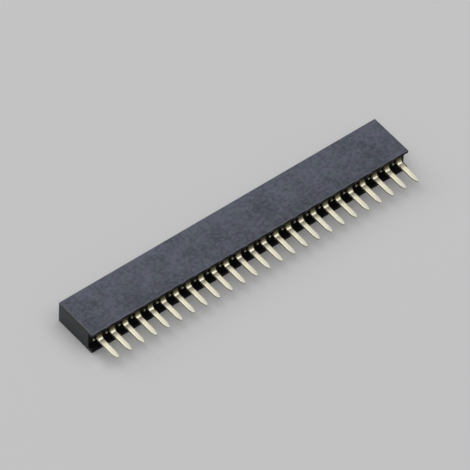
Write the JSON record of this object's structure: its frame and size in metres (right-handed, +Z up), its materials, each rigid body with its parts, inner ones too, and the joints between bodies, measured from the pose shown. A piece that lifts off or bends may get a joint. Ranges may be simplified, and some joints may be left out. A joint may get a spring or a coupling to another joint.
{
  "type": "female pin header strip",
  "caption": "Single-row straight through-hole female pin header with gold stamped contacts, lying on its long side.",
  "frame": {"origin": "on the supporting surface, under the middle of the strip's outline in X and Y, tails included", "axes": "+X along the row of contacts, +Y from the solder tails to the pin entries, +Z up through the housing's thickness, with one long side of the housing down"},
  "size_m": [0.0322, 0.0066, 0.0022],
  "materials": {
    "housing": "fine moulded grain, black with a slight sheen",
    "contact": "pale gold plating over stamped sheet"
  },
  "bodies": {
    "root": {"housing": "housing", "contact_01": "contact", "contact_02": "contact", "contact_03": "contact", "contact_04": "contact", "contact_05": "contact", "contact_06": "contact", "contact_07": "contact", "contact_08": "contact", "contact_09": "contact", "contact_10": "contact", "contact_11": "contact", "contact_12": "contact", "contact_13": "contact", "contact_14": "contact", "contact_15": "contact", "contact_16": "contact", "contact_17": "contact", "contact_18": "contact", "contact_19": "contact", "contact_20": "contact", "contact_21": "contact", "contact_22": "contact", "contact_23": "contact", "contact_24": "contact", "contact_25": "contact"}
  },
  "joints": []
}
